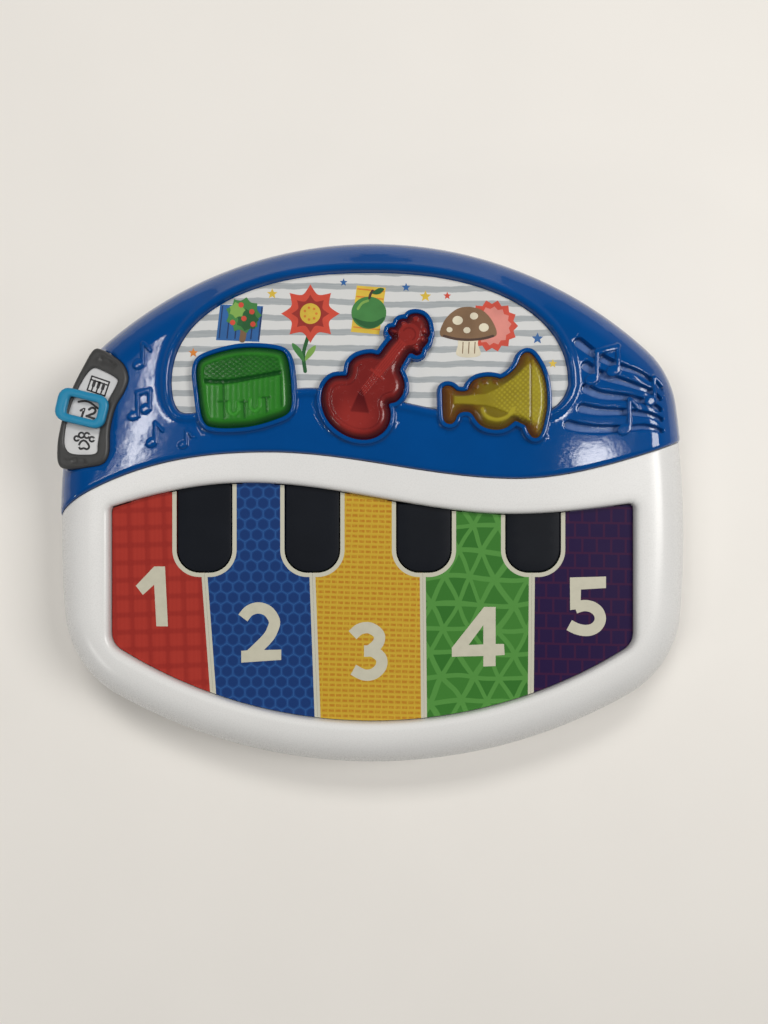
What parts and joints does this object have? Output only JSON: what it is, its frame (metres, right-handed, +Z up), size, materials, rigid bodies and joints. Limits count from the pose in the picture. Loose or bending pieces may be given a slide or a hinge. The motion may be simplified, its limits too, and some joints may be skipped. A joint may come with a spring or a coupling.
{
  "type": "toy electronic keyboard",
  "caption": "Toy keyboard with a rounded casing, hinged coloured keys, clear push buttons, a mode slider and a printed panel.",
  "frame": {"origin": "middle of the underside, on the surface that the toy rests on", "axes": "+X to the player's right, +Y to the back, +Z up"},
  "size_m": [0.2632, 0.2195, 0.0495],
  "materials": {
    "white_plastic": "smooth moulded",
    "blue_plastic": "polished moulded",
    "black_film": "printed film",
    "steel": "plain",
    "circuit_board": "solder resist",
    "printed_panel": "printed sheet",
    "green_clear_plastic": "clear tinted",
    "red_clear_plastic": "clear tinted",
    "amber_clear_plastic": "clear tinted",
    "light_lens": "clear",
    "black_resin": "potting",
    "grey_plastic": "satin moulded",
    "printed_label": "printed sheet",
    "light_blue_plastic": "smooth moulded",
    "ferrite": "plain",
    "speaker_paper": "pressed paper",
    "foam_ring": "foam",
    "cell_jacket": "sleeve",
    "wire_jacket": "sleeve",
    "dome_rubber": "plain",
    "red_key": "moulded",
    "red_key_film": "printed film",
    "blue_key": "moulded",
    "blue_key_film": "printed film",
    "yellow_key": "moulded",
    "yellow_key_film": "printed film",
    "green_key": "moulded",
    "green_key_film": "printed film",
    "purple_key": "moulded",
    "purple_key_film": "printed film"
  },
  "bodies": {
    "casing": {"base_shell": "white_plastic", "front_cover": "white_plastic", "top_cover": "blue_plastic", "black_key_tabs": "black_film", "key_hinge_rod": "steel", "key_1_dome": "dome_rubber", "key_2_dome": "dome_rubber", "key_3_dome": "dome_rubber", "key_4_dome": "dome_rubber", "key_5_dome": "dome_rubber", "key_board": "circuit_board", "picture_panel": "printed_panel", "drum_dome": "dome_rubber", "violin_dome": "dome_rubber", "trumpet_dome": "dome_rubber", "main_board": "circuit_board", "button_lights": "light_lens", "sound_chip": "black_resin", "mode_bezel": "grey_plastic", "mode_label": "printed_label", "mode_board": "circuit_board", "speaker_frame": "steel", "speaker_cone": "speaker_paper", "speaker_magnet": "ferrite", "speaker_ring": "foam_ring", "battery_door": "white_plastic", "door_screw": "steel", "battery_cells": "cell_jacket", "battery_contacts": "steel", "power_switch": "grey_plastic", "case_screws": "steel", "internal_wires": "wire_jacket"},
    "key_1": {"key_1": "red_key", "key_1_film": "red_key_film"},
    "key_2": {"key_2": "blue_key", "key_2_film": "blue_key_film"},
    "key_3": {"key_3": "yellow_key", "key_3_film": "yellow_key_film"},
    "key_4": {"key_4": "green_key", "key_4_film": "green_key_film"},
    "key_5": {"key_5": "purple_key", "key_5_film": "purple_key_film"},
    "drum_button": {"drum_button": "green_clear_plastic"},
    "violin_button": {"violin_button": "red_clear_plastic"},
    "trumpet_button": {"trumpet_button": "amber_clear_plastic"},
    "mode_slider": {"mode_slider": "light_blue_plastic", "slider_clip": "light_blue_plastic"},
    "power_knob": {"power_knob": "grey_plastic"}
  },
  "joints": [
    {"name": "key_1_press", "type": "hinge", "parent": "casing", "child": "key_1", "pos_m": [0, 0.0202, 0.036], "axis": [1, 0, 0], "range_deg": [0, 1.3], "stiffness_Nm_per_rad": 4, "springref_deg": -0.17, "deforming": ["key_1_dome"]},
    {"name": "key_2_press", "type": "hinge", "parent": "casing", "child": "key_2", "pos_m": [0, 0.0202, 0.036], "axis": [1, 0, 0], "range_deg": [0, 1.3], "stiffness_Nm_per_rad": 4, "springref_deg": -0.17, "deforming": ["key_2_dome"]},
    {"name": "key_3_press", "type": "hinge", "parent": "casing", "child": "key_3", "pos_m": [0, 0.0202, 0.036], "axis": [1, 0, 0], "range_deg": [0, 1.3], "stiffness_Nm_per_rad": 4, "springref_deg": -0.17, "deforming": ["key_3_dome"]},
    {"name": "key_4_press", "type": "hinge", "parent": "casing", "child": "key_4", "pos_m": [0, 0.0202, 0.036], "axis": [1, 0, 0], "range_deg": [0, 1.3], "stiffness_Nm_per_rad": 4, "springref_deg": -0.17, "deforming": ["key_4_dome"]},
    {"name": "key_5_press", "type": "hinge", "parent": "casing", "child": "key_5", "pos_m": [0, 0.0202, 0.036], "axis": [1, 0, 0], "range_deg": [0, 1.3], "stiffness_Nm_per_rad": 4, "springref_deg": -0.17, "deforming": ["key_5_dome"]},
    {"name": "drum_press", "type": "slide", "parent": "casing", "child": "drum_button", "axis": [0, 0, -1], "range_m": [0, 0.002], "stiffness_N_per_m": 600, "springref_m": -0.0005, "deforming": ["drum_dome"]},
    {"name": "violin_press", "type": "slide", "parent": "casing", "child": "violin_button", "axis": [0, 0, -1], "range_m": [0, 0.002], "stiffness_N_per_m": 600, "springref_m": -0.0005, "deforming": ["violin_dome"]},
    {"name": "trumpet_press", "type": "slide", "parent": "casing", "child": "trumpet_button", "axis": [0, 0, -1], "range_m": [0, 0.002], "stiffness_N_per_m": 600, "springref_m": -0.0005, "deforming": ["trumpet_dome"]},
    {"name": "mode_slide", "type": "hinge", "parent": "casing", "child": "mode_slider", "pos_m": [0.00002, 0.01001, 0.045], "axis": [0, 0, 1], "range_deg": [-5.5, 5.5]},
    {"name": "power_slide", "type": "slide", "parent": "casing", "child": "power_knob", "axis": [1, 0, 0], "range_m": [-0.004, 0.004]}
  ]
}
